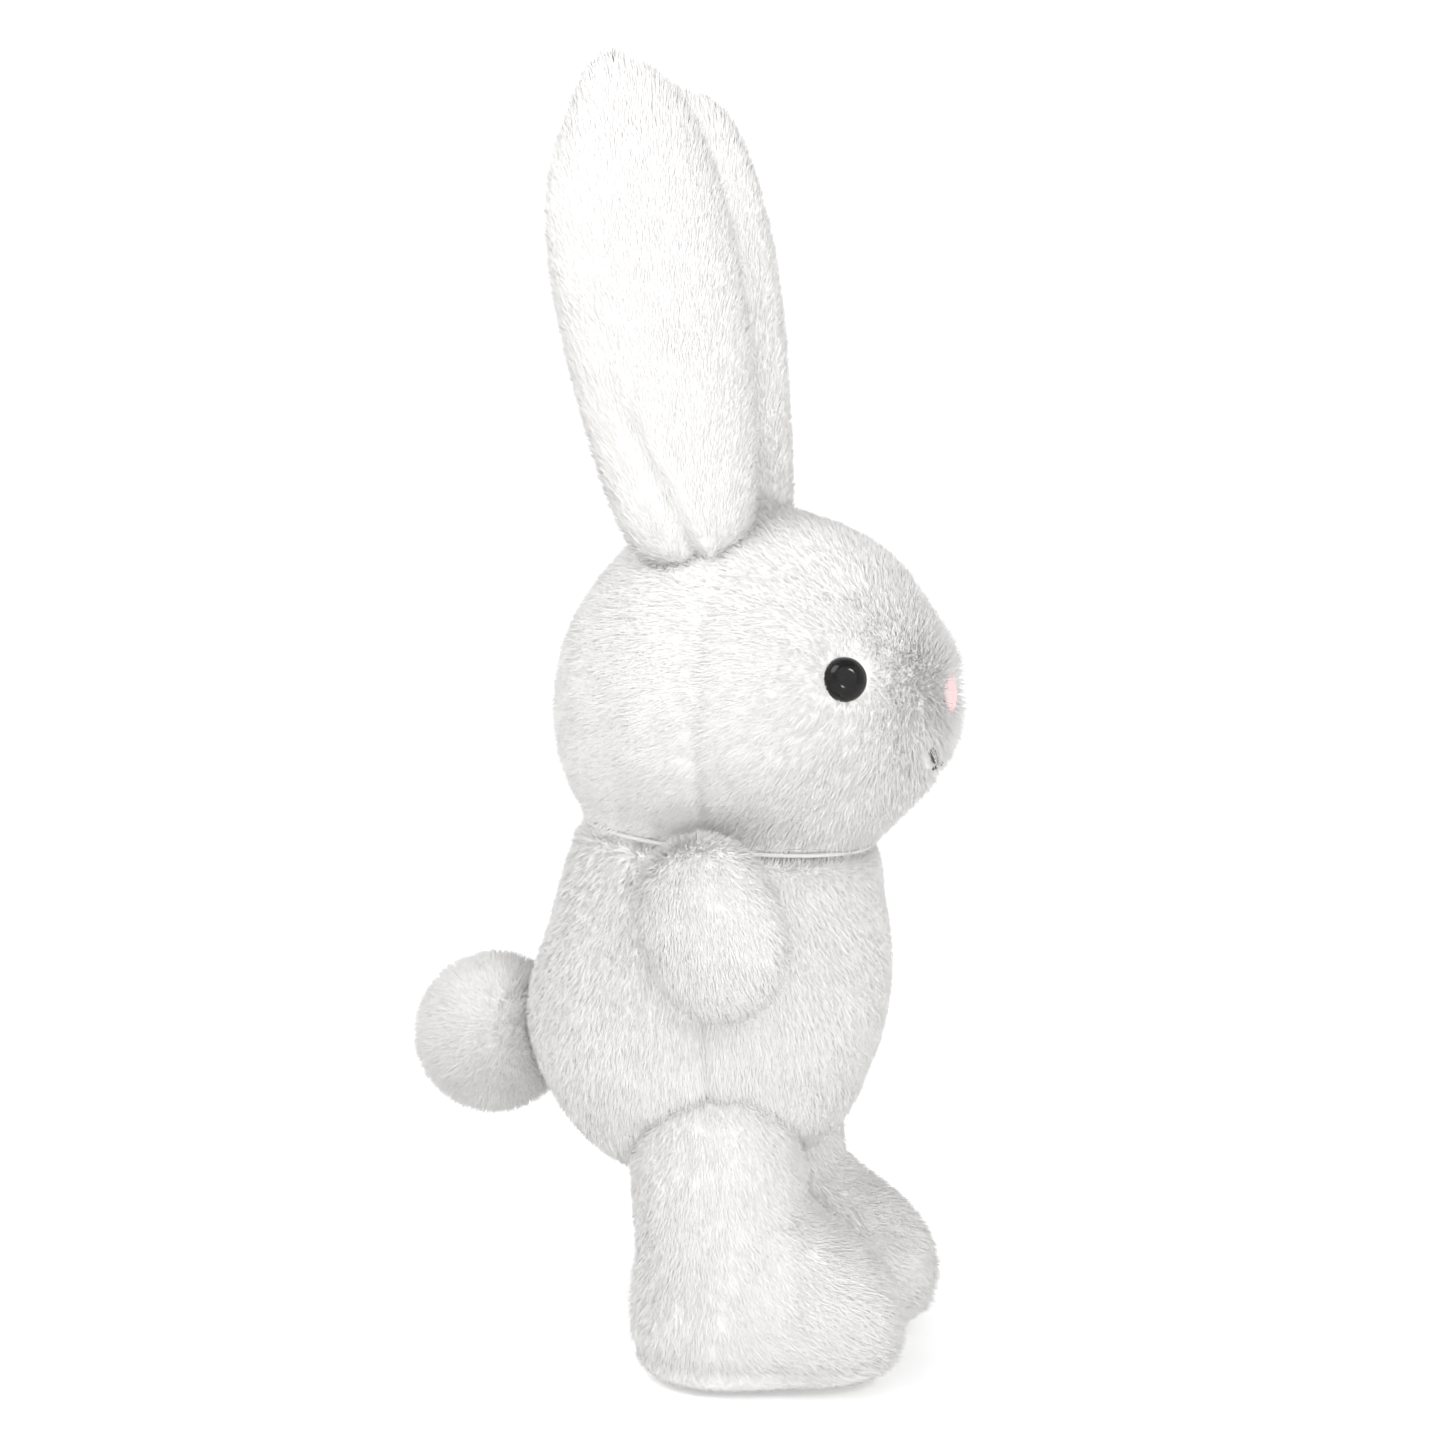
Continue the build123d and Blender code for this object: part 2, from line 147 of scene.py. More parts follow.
def head_field(p):
    """A ball with a high forehead that slopes down to a muzzle."""
    skull = smooth_min(ellipsoid(p, HEAD, HEAD_BALL), ellipsoid(p, HEAD, FOREHEAD), FOREHEAD_FILLET)
    whole = smooth_min(skull, ellipsoid(p, HEAD, MUZZLE), MUZZLE_FILLET)
    for side, _ in SIDES:
        off = np.linalg.norm(p - EYES[side], axis=1)
        whole = whole + SOCKET_DEPTH * np.exp(-((off / SOCKET_WIDTH) ** 2))
    return whole


BELLY_UP = 1  # from the body's middle along its axis
CHEST_UP = 20
SEAT_DOWN = 9
TORSO_BOXINESS = 2.1
CHEST_FILLET = 6
SEAT_FILLET = 5
NECK_HOLLOW = 42.8  # the radius, about the head's middle, of the hollow that the head sits in
NECK_ROUNDING = 2.0


def body_field(p):
    """A pear of chest, belly and seat, hollowed at its top for the head."""
    belly = ellipsoid(p, BODY + BODY_AXIS * BELLY_UP, BELLY, TORSO_BOXINESS)
    chest = ellipsoid(p, BODY + BODY_AXIS * CHEST_UP, CHEST, TORSO_BOXINESS)
    seat = ellipsoid(p, BODY - BODY_AXIS * SEAT_DOWN, SEAT)
    whole = smooth_min(smooth_min(belly, chest, CHEST_FILLET), seat, SEAT_FILLET)
    return smooth_max(whole, NECK_HOLLOW - np.linalg.norm(p - HEAD, axis=1), NECK_ROUNDING)


SHIN_HALF_WIDTH = 18.2
SHIN_HALF_LENGTH = 18.4
SHIN_TOP = 54
SHIN_LEAN = 0.08  # backwards for each mm up
LEAN_FROM, LEAN_OVER = 30, 40
THIGH_BACK = 1.2  # from the hip
THIGH_Z = 46
FOOT_BOXINESS = 2.5
THIGH_BOXINESS = 2.2
SOLE_FOLD_DEPTH = 0.9
SOLE_FOLD_WIDTH = 1.5
SOLE_Z = 0.8


def leg_field(hip):
    """A boot: a long foot with a high toe, a heel, and a thigh that leans back into the body."""

    def field(p):
        q = p - (hip[0], hip[1], 0)
        lean = SHIN_LEAN * np.clip(q[:, 2] - LEAN_FROM, 0, LEAN_OVER)
        foot = ellipsoid(q, np.zeros(3), FOOT, FOOT_BOXINESS)
        shin = (np.hypot(q[:, 0] / SHIN_HALF_WIDTH, (q[:, 1] - lean) / SHIN_HALF_LENGTH) - 1) * 18
        shin = smooth_max(smooth_max(shin, q[:, 2] - SHIN_TOP, 6), -q[:, 2], 4)
        thigh_middle = (np.sign(hip[0]), THIGH_BACK, THIGH_Z)
        thigh = ellipsoid(q, np.zeros(3), (thigh_middle, THIGH_HALF_SIZES), THIGH_BOXINESS)
        boot = smooth_min(smooth_min(foot, shin, 8), thigh, 3)
        fold = SOLE_FOLD_DEPTH * np.exp(-(((p[:, 2] - SOLE_FOLD_Z) / SOLE_FOLD_WIDTH) ** 2))
        return smooth_max(boot, SOLE_Z - q[:, 2], 5) + fold

    return field


class LocalPlace:
    """A limb's own directions: width across it, outward off it and along it, from its joint."""

    def __init__(self, origin, along, outward):
        self.origin = origin
        self.along = unit(along)
        self.outward = unit(outward - self.along * (outward @ self.along))
        self.width = np.cross(self.outward, self.along)

    def local(self, p):
        q = p - self.origin
        return np.stack([q @ self.width, q @ self.outward, q @ self.along], 1)

    def world(self, u, v, w):
        return self.origin + self.width * u + self.outward * v + self.along * w


ARM_OUT = math.radians(11)
EAR_FACING = math.radians(20)  # how far the ears turn forwards
EAR_TIP = (26.5, 9.8, 300.0)  # on the left


def arm_place(side, sign):
    """Down and forwards along the arm from its shoulder."""
    hinge = axis_of("arm_lift_" + side) * -sign
    down = np.cross(hinge, (1, 0, 0)) * math.cos(ARM_OUT)
    down = down * -np.sign(down[2]) + (sign * math.sin(ARM_OUT), 0, 0)
    return LocalPlace(pivot("arm_lift_" + side), down, np.array([sign, 0.0, 0.0]))


def ear_place(side, sign):
    """Up the ear from its base."""
    base = pivot("ear_flop_" + side)
    tip = np.array([sign * EAR_TIP[0], EAR_TIP[1], EAR_TIP[2]])
    outward = np.array([sign * math.cos(EAR_FACING), -math.sin(EAR_FACING), 0])
    return LocalPlace(base, tip - base, outward)


MITTEN_BOXINESS = 2.3
MITTEN_INNER_SIDE = 6.5
MITTEN_EDGE = 4


def arm_field(place):
    """A mitten, boxier than an egg, flatter on its inner side, merging with the shoulder."""

    def field(p):
        q = place.local(p)
        mitten = ellipsoid(q, np.zeros(3), MITTEN, MITTEN_BOXINESS)
        return smooth_max(mitten, -q[:, 1] - MITTEN_INNER_SIDE, MITTEN_EDGE)

    return field


EAR_LENGTH = 97.5
EAR_WIDEST = 50.0  # how far up the ear is widest
EAR_FOOT = -13.0
EAR_HALF_WIDTH = 20.4
EAR_HALF_THICKNESS = 10.2
EAR_LEAN_OUT = 3.2  # at its foot
EAR_TIP_BEND = -3.0  # forwards
EAR_BEND_FROM, EAR_BEND_OVER = 62, 36


def backward(place):
    """1 where the limb's width direction points backwards, -1 where it points forwards."""
    return 1 if place.width[1] > 0 else -1


def ear_field(place):
    """A stuffed leaf, pinched at its base into a foot on the side of the head."""

    def field(p):
        q = place.local(p)
        up = np.clip((q[:, 2] - EAR_WIDEST) / (EAR_LENGTH - EAR_WIDEST), 0, 1)
        down = np.clip((EAR_WIDEST - q[:, 2]) / (EAR_WIDEST - EAR_FOOT), 0, 1)
        foot = np.sqrt(1 - down**14)
        half_width = EAR_HALF_WIDTH * np.sqrt(np.maximum(1 - up**2.3, 0)) * (1 - 0.36 * down**1.7) * foot
        half_thickness = EAR_HALF_THICKNESS * np.sqrt(np.maximum(1 - up**2.5, 0))
        half_thickness = half_thickness * (1 - 0.2 * down**1.5) * foot
        lean_out = EAR_LEAN_OUT * down**4
        bending = np.clip((q[:, 2] - EAR_BEND_FROM) / EAR_BEND_OVER, 0, 1.2)
        bend = EAR_TIP_BEND * bending**2 * backward(place)
        across = (q[:, 0] - bend) / np.maximum(half_width, 0.01)
        radius = np.hypot(across, (q[:, 1] - lean_out) / np.maximum(half_thickness, 0.01))
        ends = np.maximum(q[:, 2] - EAR_LENGTH, EAR_FOOT - q[:, 2])
        return np.maximum(radius - 1, ends)

    return field


TAIL_MIDDLE = pivot("tail_wobble") + (0, 14.7, 0)
TAIL_RADIUS = 16.8


def tail_field(p):
    """A ball."""
    return np.linalg.norm(p - TAIL_MIDDLE, axis=1) - TAIL_RADIUS


# ============================== skins ==============================
COVERING = 0.8  # mm of cloth left outside a filling
COVERING_FILLET = 0.8


def outermost(node, centre, directions):
    """How far a CAD node reaches from a centre in each direction, in mm."""
    mesh = frame["nodes"][node].data
    tree = BVHTree.FromPolygons([v.co for v in mesh.vertices], [f.vertices for f in mesh.polygons])
    reach = np.zeros(len(directions))
    for i, direction in enumerate(directions):
        hit = tree.ray_cast(Vector((centre + direction * FAR) * MM), Vector(-direction))[0]
        if hit is not None:
            reach[i] = (np.array(hit) / MM - centre) @ direction
    return reach


def cast(name, centre, stretch, field, fillings):
    """A closed mesh: a stretched ball of points, pushed out from the centre to the field's surface.

    It is never pushed out less far than what has to be inside it, and is then relaxed.
    """
    bpy.ops.mesh.primitive_ico_sphere_add(subdivisions=SKIN_LEVEL, radius=1)
    obj = bpy.context.object
    obj.name = obj.data.name = name
    ball = np.empty(len(obj.data.vertices) * 3)
    obj.data.vertices.foreach_get("co", ball)
    directions = unit(ball.reshape(-1, 3) @ stretch)
    near = np.zeros(len(directions))
    far = np.full(len(directions), FAR)
    for _ in range(CAST_STEPS):
        middle = (near + far) / 2
        outside = field(centre + directions * middle[:, None]) > 0
        far = np.where(outside, middle, far)
        near = np.where(outside, near, middle)
    for filling in fillings:
        near = smooth_max(near, outermost(filling, centre, directions) + COVERING, COVERING_FILLET)
    write_points(obj, relaxed(obj, centre + directions * near[:, None]))
    return obj


def relaxed(obj, points):
    """The mesh's points, each drawn towards the middle of its neighbours, which rounds off small steps."""
    edges = np.empty(len(obj.data.edges) * 2, int)
    obj.data.edges.foreach_get("vertices", edges)
    one, other = edges.reshape(-1, 2).T
    neighbours = np.bincount(edges, minlength=len(points))[:, None]
    for _ in range(RELAX_ROUNDS):
        total = np.zeros_like(points)
        np.add.at(total, one, points[other])
        np.add.at(total, other, points[one])
        points = (points + total / neighbours) / 2
    return points


def write_points(obj, points):
    """Give a mesh its corners, from mm."""
    obj.data.vertices.foreach_set("co", (points * MM).ravel())
    obj.data.update()


def read_mesh(obj):
    """A mesh's corners in mm, their normals, and its triangles."""
    mesh = obj.data
    points = np.empty(len(mesh.vertices) * 3)
    mesh.vertices.foreach_get("co", points)
    normals = np.empty(len(mesh.vertices) * 3)
    mesh.vertex_normals.foreach_get("vector", normals)
    mesh.calc_loop_triangles()
    triangles = np.empty(len(mesh.loop_triangles) * 3, int)
    mesh.loop_triangles.foreach_get("vertices", triangles)
    return points.reshape(-1, 3) / MM, normals.reshape(-1, 3), triangles.reshape(-1, 3)


def press(obj, depth):
    """Move a skin's corners along their normals; depth(points) is in mm, and inwards when it is negative."""
    points, normals, _ = read_mesh(obj)
    write_points(obj, points + normals * depth(points)[:, None])


# ============================== pile ==============================
ROOT_WIDTH = 0.34  # mm across a strand at its root
SUNK = 0.4  # how far a root starts under the skin
CLUMP = 0.16  # how far strands lean to the middle strand of their tuft
TUFT = 14  # strands in a tuft
SWAY = 0.1  # how far the lie of the pile wanders
SWAY_SIZE = 9  # mm between its wanderings
UNEVENNESS = 0.14  # how far each strand strays by itself
LENGTHS = (0.7, 1.15)  # of strands, as shares of the length asked for
WIDTHS = (0.75, 1.2)
CLUMPINGS = (0.2, 1.0)
ROOT_ROUNDNESS = 0.25  # how far the shading of a root turns round the strand
TIP_SHEEN = 0.2  # how far the shading of a tip turns along the strand


def pile(name, skin, keep, length, comb, count, seed, rise=0.55):
    """Strands rooted on the triangles whose middles keep() chooses.

    length(points) is in mm, and comb(points, normals) is the way that the pile was brushed.
    """
    rng = np.random.default_rng(seed)
    points, normals, triangles = read_mesh(skin)
    corners = points[triangles]
    chosen = keep(corners.mean(1))
    corners, triangles = corners[chosen], triangles[chosen]
    areas = np.linalg.norm(np.cross(corners[:, 1] - corners[:, 0], corners[:, 2] - corners[:, 0]), axis=1)
    picked = rng.choice(len(areas), count, p=areas / areas.sum())
    a, b = rng.random(count), rng.random(count)
    folded = a + b > 1
    a, b = np.where(folded, 1 - a, a), np.where(folded, 1 - b, b)
    weights = np.stack([1 - a - b, a, b], 1)
    roots = (corners[picked] * weights[:, :, None]).sum(1)
    up = unit((normals[triangles[picked]] * weights[:, :, None]).sum(1))

    lie = comb(roots, up)
    lie = lie - up * (lie * up).sum(1)[:, None]
    sway = np.stack([waves(roots, SWAY_SIZE, seed + k) for k in (1, 2, 3)], 1)
    sway -= up * (sway * up).sum(1)[:, None]
    jitter = rng.normal(size=(count, 3)) * UNEVENNESS
    strand = unit(up * rise + lie + sway * SWAY + jitter)
    reach = length(roots) * rng.uniform(*LENGTHS, count)
    tips = roots + strand * reach[:, None]

    tufts = max(count // TUFT, 1)
    tree = KDTree(tufts)
    for i in range(tufts):
        tree.insert(roots[i], i)
    tree.balance()
    nearest = np.array([tree.find(root)[1] for root in roots])
    tips += (tips[nearest] - tips) * (CLUMP * rng.uniform(*CLUMPINGS, count))[:, None]

    along = unit(tips - roots)
    across = unit(np.cross(along, up + rng.normal(size=(count, 3)) * 0.05))
    third = np.cross(along, across)
    spin = rng.uniform(0, 2 * math.pi, count)
    spikes = np.empty((count, 4, 3))
    shading = np.empty((count, 4, 3))
    width = ROOT_WIDTH / 2 * rng.uniform(*WIDTHS, count)
    for k in range(3):
        turn = spin + k * 2 * math.pi / 3
        out = across * np.cos(turn)[:, None] + third * np.sin(turn)[:, None]
        spikes[:, k] = roots - up * SUNK + out * width[:, None]
        shading[:, k] = unit(up + out * ROOT_ROUNDNESS)
    spikes[:, 3] = tips
    shading[:, 3] = unit(up + along * TIP_SHEEN)

    mesh = bpy.data.meshes.new(name)
    first = np.arange(count)[:, None, None] * 4
    faces = (first + np.array([[0, 1, 3], [1, 2, 3], [2, 0, 3]])).reshape(-1, 3)
    mesh.vertices.add(count * 4)
    mesh.vertices.foreach_set("co", (spikes * MM).ravel())
    mesh.loops.add(faces.size)
    mesh.loops.foreach_set("vertex_index", faces.ravel())
    mesh.polygons.add(len(faces))
    mesh.polygons.foreach_set("loop_start", np.arange(len(faces)) * 3)
    tint = np.repeat(rng.choice(len(PILE_SHADES), count, p=PILE_SHARES), 3)
    mesh.polygons.foreach_set("material_index", tint)
    mesh.update(calc_edges=True)
    mesh.polygons.foreach_set("use_smooth", np.ones(len(faces), bool))
    mesh.normals_split_custom_set_from_vertices(shading.reshape(-1, 3))
    for material in PILE_SHADES:
        mesh.materials.append(material)
    obj = bpy.data.objects.new(name, mesh)
    bpy.context.collection.objects.link(obj)
    return obj


# ============================== materials ==============================
def plain(name, colour, roughness, sheen=0.0, coat=0.0):
    """A Principled material with its values on the shader's own sockets."""
    material = bpy.data.materials.new(name)
    material.use_nodes = True
    shader = material.node_tree.nodes["Principled BSDF"]
    shader.inputs["Base Color"].default_value = (*colour, 1)
    shader.inputs["Roughness"].default_value = roughness
    shader.inputs["Sheen Weight"].default_value = sheen
    shader.inputs["Coat Weight"].default_value = coat
    return material


PILE_SHADES = [
    plain("pile_white", (0.93, 0.925, 0.915), 0.9, 0.15),
    plain("pile_cream", (0.91, 0.895, 0.875), 0.9, 0.15),
    plain("pile_grey", (0.86, 0.85, 0.84), 0.9, 0.15),
]
PILE_SHARES = [0.62, 0.25, 0.13]


def mottled(name, dark, light, scale, roughness, relief=0.0004):
    """A procedural material: fine noise between two colours, which also lifts the surface.

    relief is in metres.
    """
    material = plain(name, light, roughness)
    nodes, links = material.node_tree.nodes, material.node_tree.links
    shader = nodes["Principled BSDF"]
    noise = nodes.new("ShaderNodeTexNoise")
    noise.inputs["Scale"].default_value = scale
    ramp = nodes.new("ShaderNodeValToRGB")
    ramp.color_ramp.elements[0].color = (*dark, 1)
    ramp.color_ramp.elements[1].color = (*light, 1)
    bump = nodes.new("ShaderNodeBump")
    bump.inputs["Strength"].default_value = 0.4
    bump.inputs["Distance"].default_value = relief
    links.new(noise.outputs["Fac"], ramp.inputs["Fac"])
    links.new(ramp.outputs["Color"], shader.inputs["Base Color"])
    links.new(noise.outputs["Fac"], bump.inputs["Height"])
    links.new(bump.outputs["Normal"], shader.inputs["Normal"])
    return material


backing = mottled("backing_cloth", (0.80, 0.79, 0.77), (0.93, 0.925, 0.915), 900, 0.95)
filling_fibre = mottled("filling_fibre", (0.84, 0.83, 0.81), (0.95, 0.95, 0.94), 300, 0.95, 0.001)
# The seam thread is coloured darker than the plush it sews: painted crease shade, so that the neck seam reads
# as a shadowed crease.
sewing_thread = mottled("sewing_thread", (0.56, 0.55, 0.53), (0.70, 0.69, 0.67), 1500, 0.8, 0.0001)
grey_board = mottled("grey_board", (0.46, 0.38, 0.29), (0.62, 0.52, 0.40), 250, 0.9, 0.0002)
pellet_cloth = mottled("pellet_cloth", (0.74, 0.74, 0.71), (0.86, 0.86, 0.84), 700, 0.9, 0.0003)
washer_plastic = mottled("washer_plastic", (0.80, 0.80, 0.78), (0.87, 0.87, 0.86), 200, 0.45, 0.00005)
eye_plastic = mottled("eye_plastic", (0.004, 0.0035, 0.0035), (0.007, 0.006, 0.006), 150, 0.06, 0.00001)
eye_plastic.node_tree.nodes["Principled BSDF"].inputs["Specular IOR Level"].default_value = 0.25
nose_silk = mottled("nose_silk", (0.74, 0.50, 0.50), (0.85, 0.62, 0.62), 1200, 0.55, 0.0001)
mouth_wool = mottled("mouth_wool", (0.03, 0.03, 0.035), (0.10, 0.095, 0.10), 1200, 0.8, 0.0001)

INNER_MATERIALS = (
    ("stuffing", filling_fibre),
    ("wadding", filling_fibre),
    ("washer", washer_plastic),
    ("thread", sewing_thread),
    ("board", grey_board),
    ("pellet", pellet_cloth),
    ("eye_left", eye_plastic),
    ("eye_right", eye_plastic),
)
for name, node in frame["nodes"].items():
    for word, material in INNER_MATERIALS:
        if word in name:
            node.data.materials.clear()
            node.data.materials.append(material)
            break


# ============================== dressing the parts ==============================
def dress(skin, body, nodes):
    """Make a skin part of the object."""
    skin.data.materials.clear()
    skin.data.materials.append(backing)
    skin.data.polygons.foreach_set("use_smooth", np.ones(len(skin.data.polygons), bool))
    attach(skin, body)
    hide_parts(*nodes)


def cover(obj, body):
    """Make a piece of pile part of the object."""
    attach(obj, body)


def everywhere(p):
    """Every triangle."""
    return np.ones(len(p), bool)


def in_front(p):
    """Before the side seams."""
    return p[:, 1] < SEAM_Y


def behind(p):
    """Behind the side seams."""
    return p[:, 1] >= SEAM_Y


def seam_groove(p, depth=1.1, width=1.6):
    """The pulled-in line of the side seams."""
    return -depth * np.exp(-(((p[:, 1] - SEAM_Y) / width) ** 2))


snout = HEAD + (0, -46, 5)
PILE_LENGTH = 2.8
SNOUT_EXTRA = 2.4  # the pile's extra length there
SNOUT_REACH = 20  # how far that goes
SNOUT_FLUFF = 22  # how far round the snout the pile stands up
EYE_TRIM = 1.3  # how much shorter the pile is by the eyes
EYE_TRIM_REACH = 7.5
EYE_PARTING = 8  # how far round an eye the pile is combed off it
EYE_CLEARING = 5.0  # the radius of the bare cloth behind each eye


def head_comb(p, n):
    """From the snout outwards over the face, away from the eyes, and down behind."""
    fluffy = np.exp(-((np.linalg.norm(p - snout, axis=1) / SNOUT_FLUFF) ** 2))[:, None]
    way = unit(unit(p - snout) + (0, 0, -0.25)) * (0.9 - 0.45 * fluffy)
    for side, _ in SIDES:
        off = p - EYES[side]
        near = np.exp(-((np.linalg.norm(off, axis=1) / EYE_PARTING) ** 2))[:, None]
        way = way * (1 - near) + unit(off) * near
    return way


def head_length(p):
    """Longer round the snout, shorter by the eyes."""
    length = PILE_LENGTH + SNOUT_EXTRA * np.exp(-((np.linalg.norm(p - snout, axis=1) / SNOUT_REACH) ** 2))
    for side, _ in SIDES:
        length -= EYE_TRIM * np.exp(-((np.linalg.norm(p - EYES[side], axis=1) / EYE_TRIM_REACH) ** 2))
    return length


def down_comb(p, n):
    """Downwards."""
    return np.tile([0, -0.12, -0.95], (len(p), 1))


BRIEF = 1.0  # fewer strands while trying things
STRANDS = {
    "face": 66000,
    "head_back": 62000,
    "body_front": 56000,
    "body_back": 62000,
    "ear_front": 27000,
    "ear_back": 25000,
    "arm_outer": 13000,
    "arm_inner": 8000,
    "leg_outer": 27000,
    "leg_inner": 24000,
    "tail": 24000,
}


def strands(part):
    """How many strands to make."""
    return int(STRANDS[part] * BRIEF)


LUMPS = 0.4  # how uneven the stuffing makes a skin
LUMP_SIZE = 30
NOSE_HALF_WIDTH = 6.4
NOSE_HALF_HEIGHT = 4.6
NOSE_Z = node_middle("nose_embroidery")[2]
MOUTH_HALF_WIDTH = 11.0
MOUTH_DIP = 4.6
MOUTH_PARTING = 1.3  # how far above and below the mouth the cloth is bare
MOUTH_Z = node_middle("mouth_embroidery")[2] + MOUTH_DIP / 2


def nose_half_height(x):
    """Half the nose's height at a distance from its middle."""
    return NOSE_HALF_HEIGHT * math.sqrt(max(1 - (x / NOSE_HALF_WIDTH) ** 2, 0.04))


def mouth_z(t):
    """The smile's height, from -1 to 1 along it."""
    return MOUTH_Z - MOUTH_DIP * (1 - t * t)


def on_face(x, z, lift):
    """The place on the front of the head that is level with x and z, lifted off it; in mm."""
    near, far = HEAD[1], HEAD[1] - FAR
    for _ in range(CAST_STEPS):
        middle = (near + far) / 2
        if head_field(np.array([[x, middle, z]]))[0] > 0:
            far = middle
        else:
            near = middle
    return np.array([x, near - lift, z])


head_skin = cast("head_skin", HEAD + (0, -6, 2), np.diag([1, 1.12, 1.05]), head_field, ["head_stuffing"])
press(head_skin, lambda p: seam_groove(p) + LUMPS * waves(p, LUMP_SIZE, 11))
dress(head_skin, "head", ("face_panel", "head_back_panel"))


def face_roots(p):
    """In front of the seams, round the eyes."""
    clear = in_front(p)
    for side, _ in SIDES:
        clear &= np.linalg.norm(p - EYES[side], axis=1) > EYE_CLEARING
    nose = np.hypot(p[:, 0] / NOSE_HALF_WIDTH, (p[:, 2] - NOSE_Z) / NOSE_HALF_HEIGHT) < 0.96
    mouth = np.abs(p[:, 2] - mouth_z(p[:, 0] / MOUTH_HALF_WIDTH)) < MOUTH_PARTING
    mouth &= np.abs(p[:, 0]) < MOUTH_HALF_WIDTH
    return clear & ~((nose | mouth) & (p[:, 1] < snout[1] + 8))


cover(pile("face_pile", head_skin, face_roots, head_length, head_comb, strands("face"), 21), "head")
cover(pile("head_back_pile", head_skin, behind, head_length, head_comb, strands("head_back"), 22), "head")

body_skin = cast("body_skin", BODY, np.eye(3), body_field, ["body_stuffing"])
press(body_skin, lambda p: seam_groove(p) + LUMPS * waves(p, LUMP_SIZE, 12))
dress(body_skin, "torso", ("body_front_panel", "body_back_panel"))


BODY_PILE_LENGTH = 3.0
RIM_FROM, RIM_OVER = 43.5, 6  # from the head's middle, where the pile stops standing up
NECK_BARE_RADIUS = 43.1  # about the head's middle, and off the neck's axis
NECK_BARE_OFF_AXIS = 29.5


def body_length(p):
    """Pile of one length."""
    return np.full(len(p), BODY_PILE_LENGTH)


def body_comb(p, n):
    """Downwards, and standing up at the rim under the head."""
    lying = np.clip((np.linalg.norm(p - HEAD, axis=1) - RIM_FROM) / RIM_OVER, 0.1, 1)[:, None]
    return down_comb(p, n) * lying


def outside_neck(p):
    """Not in the hollow under the head."""
    q = p - HEAD
    off_axis = np.linalg.norm(q - np.outer(q @ BODY_AXIS, BODY_AXIS), axis=1)
    return (np.linalg.norm(q, axis=1) > NECK_BARE_RADIUS) | (off_axis > NECK_BARE_OFF_AXIS)


def chest_roots(p):
    """In front of the seams."""
    return in_front(p) & outside_neck(p)


def back_roots(p):
    """Behind the seams."""
    return behind(p) & outside_neck(p)


for face, chosen, seed in (("body_front", chest_roots, 23), ("body_back", back_roots, 24)):
    name = face + "_pile"
    cover(pile(name, body_skin, chosen, body_length, body_comb, strands(face), seed), "torso")


def named(side, *names):
    """The nodes' names with their side."""
    return [name + "_" + side for name in names]


def comb_along(place):
    """Along a limb, towards its tip."""

    def comb(p, n):
        return np.tile(place.along * 0.95, (len(p), 1))

    return comb


def longer_at_tip(place, length, extra, start, over):
    """Pile that gets longer along a limb, from start, over that distance."""

    def reach(p):
        return length + extra * np.clip((place.local(p)[:, 2] - start) / over, 0, 1)

    return reach


def outer_side(place):
    """The front half of an ear, and the half of an arm away from the body."""
    return lambda p: place.local(p)[:, 1] > 0


def inner_side(place):
    """The back half of an ear, and the half of an arm towards the body."""
    return lambda p: place.local(p)[:, 1] <= 0


def cover_limb(body, skin, faces, length, comb, side):
    """Cover a limb's skin with pile; faces are the name of each, what it covers, and its seed."""
    for face, chosen, seed in faces:
        name = face + "_pile_" + side
        cover(pile(name, skin, chosen, length, comb, strands(face), seed), body + "_" + side)


def ear_pleat(place):
    """The fold that gathers the ear's outer face at its base."""

    def depth(p):
        q = place.local(p)
        across = q[:, 0] * backward(place) - (1.0 + 0.3 * (q[:, 2] + 8))
        strength = np.clip((34 - q[:, 2]) / 26, 0, 1) * (q[:, 1] > 0)
        groove = -1.2 * np.exp(-((across / 1.8) ** 2))
        lip = 0.5 * np.exp(-(((across + 3.6) / 2.0) ** 2))
        return (groove + lip) * strength

    return depth


for side, sign in SIDES:
    place = ear_place(side, sign)
    stretch = np.array([place.width * 1.4, place.outward * 0.8, place.along * 3.2])
    middle = place.world(0, 0, 44)
    skin = cast("ear_skin_" + side, middle, stretch, ear_field(place), named(side, "ear_wadding"))
    press(skin, ear_pleat(place))
    dress(skin, "ear_" + side, named(side, "ear_front_panel", "ear_back_panel"))

    length = longer_at_tip(place, 2.7, 1.3, 75, 22)
    faces = (("ear_front", outer_side(place), 31 + sign), ("ear_back", inner_side(place), 34 + sign))
    cover_limb("ear", skin, faces, length, comb_along(place), side)

for side, sign in SIDES:
    place = arm_place(side, sign)
    stretch = np.array([place.width, place.outward * 0.7, place.along * 1.3])
    middle = place.world(0, 2, 14)
    skin = cast("arm_skin_" + side, middle, stretch, arm_field(place), named(side, "arm_stuffing"))
    dress(skin, "arm_" + side, named(side, "arm_outer_panel", "arm_inner_panel"))

    length = longer_at_tip(place, PILE_LENGTH, 1.4, 16, 16)
    faces = (("arm_outer", outer_side(place), 41 + sign), ("arm_inner", inner_side(place), 44 + sign))
    cover_limb("arm", skin, faces, length, comb_along(place), side)


TUCKED = 1.5  # how far inside the body the leg's pile goes on


def leg_comb(p, n):
    """Down the leg, and forwards over the foot."""
    forward = np.clip(1 - p[:, 2] / 45, 0, 1) * np.clip((-p[:, 1] - 5) / 30, 0, 1)
    return np.stack([np.zeros(len(p)), -0.2 - 0.8 * forward, -0.8 + 0.75 * forward], 1) * 0.95


def leg_length(p):
    """Longer at the toes, and short under the sole."""
    toe = np.clip((-p[:, 1] - 30) / 25, 0, 1)
    sole = np.clip((p[:, 2] - 1) / 6, 0.35, 1)
    return (PILE_LENGTH + 1.5 * toe) * sole


